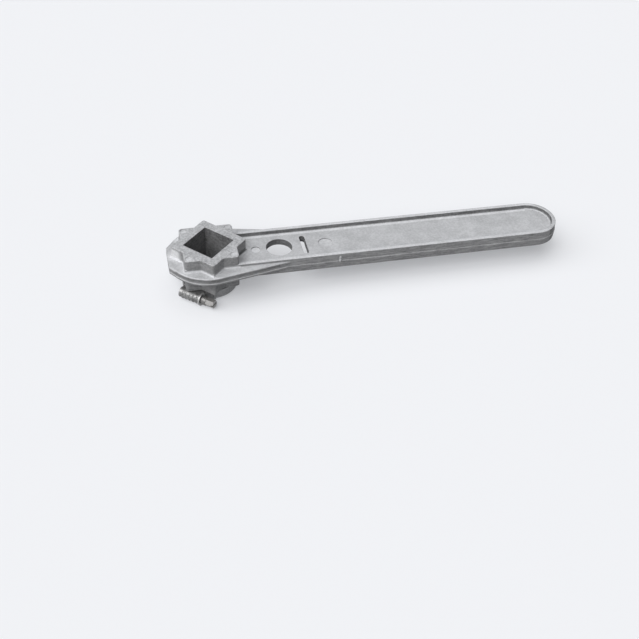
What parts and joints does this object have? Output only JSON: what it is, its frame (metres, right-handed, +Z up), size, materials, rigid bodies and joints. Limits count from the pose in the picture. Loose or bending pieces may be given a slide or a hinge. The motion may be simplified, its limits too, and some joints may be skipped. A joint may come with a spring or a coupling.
{
  "type": "lever wrench",
  "caption": "Die-cast lever wrench with a star-shaped hub, a square drive socket and a long channelled handle, held on its stem by a worm-drive band clamp.",
  "frame": {"origin": "on the axis of the square socket, in the parting plane at half the height of the hub", "axes": "+X along the handle, +Y across it, +Z up the socket axis to the marked face of the hub"},
  "size_m": [0.3692, 0.0783, 0.0459],
  "materials": {
    "cast_aluminium": "matt, as cast and tumbled",
    "band_steel": "satin stainless strip",
    "housing_steel": "pressed stainless sheet",
    "screw_steel": "plated, slightly dull"
  },
  "bodies": {
    "lever": {"lever": "cast_aluminium", "clamp_band": "band_steel", "clamp_saddle": "band_steel", "clamp_housing": "housing_steel"},
    "screw": {"clamp_screw": "screw_steel"}
  },
  "joints": [
    {"name": "screw_turn", "type": "hinge", "parent": "lever", "child": "screw", "pos_m": [-0.01903, -0.02267, -0.0231], "axis": [0.766, -0.6428, 0], "continuous": true}
  ]
}
